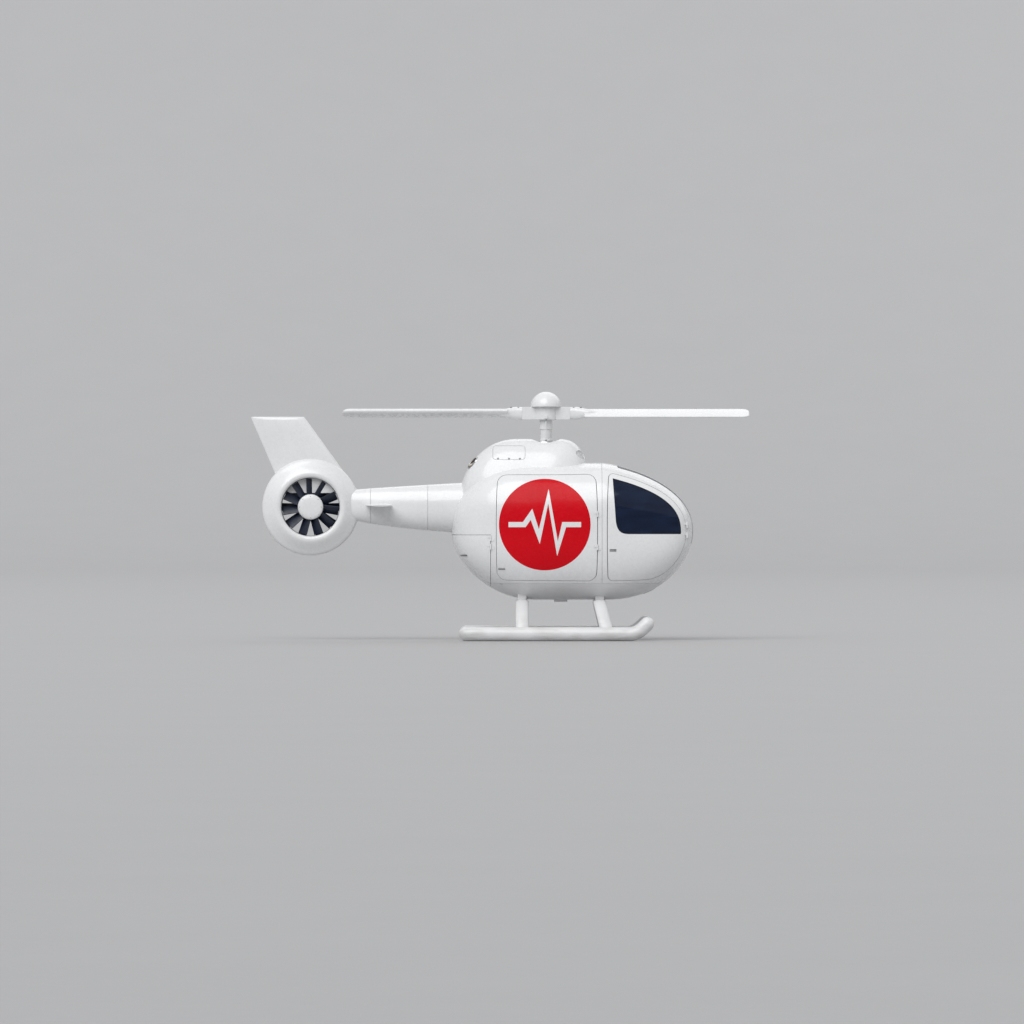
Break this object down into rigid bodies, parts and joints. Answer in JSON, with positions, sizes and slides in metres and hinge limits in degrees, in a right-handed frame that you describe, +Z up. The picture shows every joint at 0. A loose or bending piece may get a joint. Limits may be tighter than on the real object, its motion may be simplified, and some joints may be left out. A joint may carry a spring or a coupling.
{
  "type": "light ambulance helicopter",
  "caption": "Light ambulance helicopter with a round hollow cabin, humped engine cowling, main rotor, ducted tail fan in a swept fin, hinged doors and landing skids.",
  "frame": {"origin": "on the ground below the middle of the whole length, midway between the skids", "axes": "+X towards the nose, +Y to port, +Z up"},
  "size_m": [8.3, 2.279, 4.1338],
  "materials": {
    "white_paint": "gloss aircraft paint",
    "navy_paint": "satin dark navy paint",
    "tinted_glass": "dark tinted window",
    "bare_metal": "machined and heat stained metal",
    "dark_plastic": "matt black cabin plastic",
    "cabin_trim": "grained grey floor covering",
    "seat_fabric": "woven dark grey cloth",
    "lamp_glass": "clear lens"
  },
  "bodies": {
    "airframe": {"belly_tub": "white_paint", "cockpit_frame": "white_paint", "cabin_frame": "white_paint", "cabin_floor": "cabin_trim", "windscreen_left": "tinted_glass", "windscreen_right": "tinted_glass", "pilot_seat_left": "seat_fabric", "pilot_seat_right": "seat_fabric", "instrument_panel": "dark_plastic", "cyclic_stick_left": "dark_plastic", "cyclic_stick_right": "dark_plastic", "stretcher": "seat_fabric", "attendant_seat": "seat_fabric", "engine_cowling": "white_paint", "intake_grille_left": "dark_plastic", "intake_grille_right": "dark_plastic", "exhaust_pipe_left": "bare_metal", "exhaust_pipe_right": "bare_metal", "engine": "bare_metal", "stabiliser": "white_paint", "tail_boom": "white_paint", "fan_shroud": "white_paint", "tail_fin": "white_paint", "fan_stator": "navy_paint", "skid_left": "white_paint", "skid_right": "white_paint", "leg_bow_front": "white_paint", "leg_bow_rear": "white_paint", "landing_light": "lamp_glass"},
    "main_rotor": {"rotor_mast": "white_paint", "rotor_hub": "white_paint", "rotor_dome": "white_paint", "rotor_blade_front": "white_paint", "rotor_blade_rear": "white_paint", "swashplate": "bare_metal"},
    "tail_fan": {"fan_rotor": "navy_paint", "fan_cap": "white_paint"},
    "pilot_door_l": {"pilot_door_left": "white_paint", "door_window_left": "tinted_glass"},
    "pilot_door_r": {"pilot_door_right": "white_paint", "door_window_right": "tinted_glass"},
    "cabin_door_l": {"cabin_door_left": "white_paint"},
    "cabin_door_r": {"cabin_door_right": "white_paint"},
    "rear_door_l": {"rear_door_left": "white_paint"},
    "rear_door_r": {"rear_door_right": "white_paint"}
  },
  "joints": [
    {"name": "main_rotor_spin", "type": "hinge", "parent": "airframe", "child": "main_rotor", "pos_m": [0.765, 0, 3.775], "axis": [0, 0, 1], "continuous": true},
    {"name": "tail_fan_spin", "type": "hinge", "parent": "airframe", "child": "tail_fan", "pos_m": [-3.15, 0, 2.217], "axis": [0, 1, 0], "continuous": true},
    {"name": "pilot_door_left_open", "type": "hinge", "parent": "airframe", "child": "pilot_door_l", "pos_m": [3.101, 0.669, 1.8], "axis": [0, 0, -1], "range_deg": [0, 70]},
    {"name": "pilot_door_right_open", "type": "hinge", "parent": "airframe", "child": "pilot_door_r", "pos_m": [3.101, -0.669, 1.8], "axis": [0, 0, 1], "range_deg": [0, 70]},
    {"name": "cabin_door_left_open", "type": "hinge", "parent": "airframe", "child": "cabin_door_l", "pos_m": [1.612, 0.968, 1.8], "axis": [0, 0, -1], "range_deg": [0, 85]},
    {"name": "cabin_door_right_open", "type": "hinge", "parent": "airframe", "child": "cabin_door_r", "pos_m": [1.612, -0.968, 1.8], "axis": [0, 0, 1], "range_deg": [0, 85]},
    {"name": "rear_door_left_open", "type": "hinge", "parent": "airframe", "child": "rear_door_l", "pos_m": [-0.155, 0.842, 1.5], "axis": [0, 0, -1], "range_deg": [0, 100]},
    {"name": "rear_door_right_open", "type": "hinge", "parent": "airframe", "child": "rear_door_r", "pos_m": [-0.155, -0.842, 1.5], "axis": [0, 0, 1], "range_deg": [0, 100]}
  ]
}
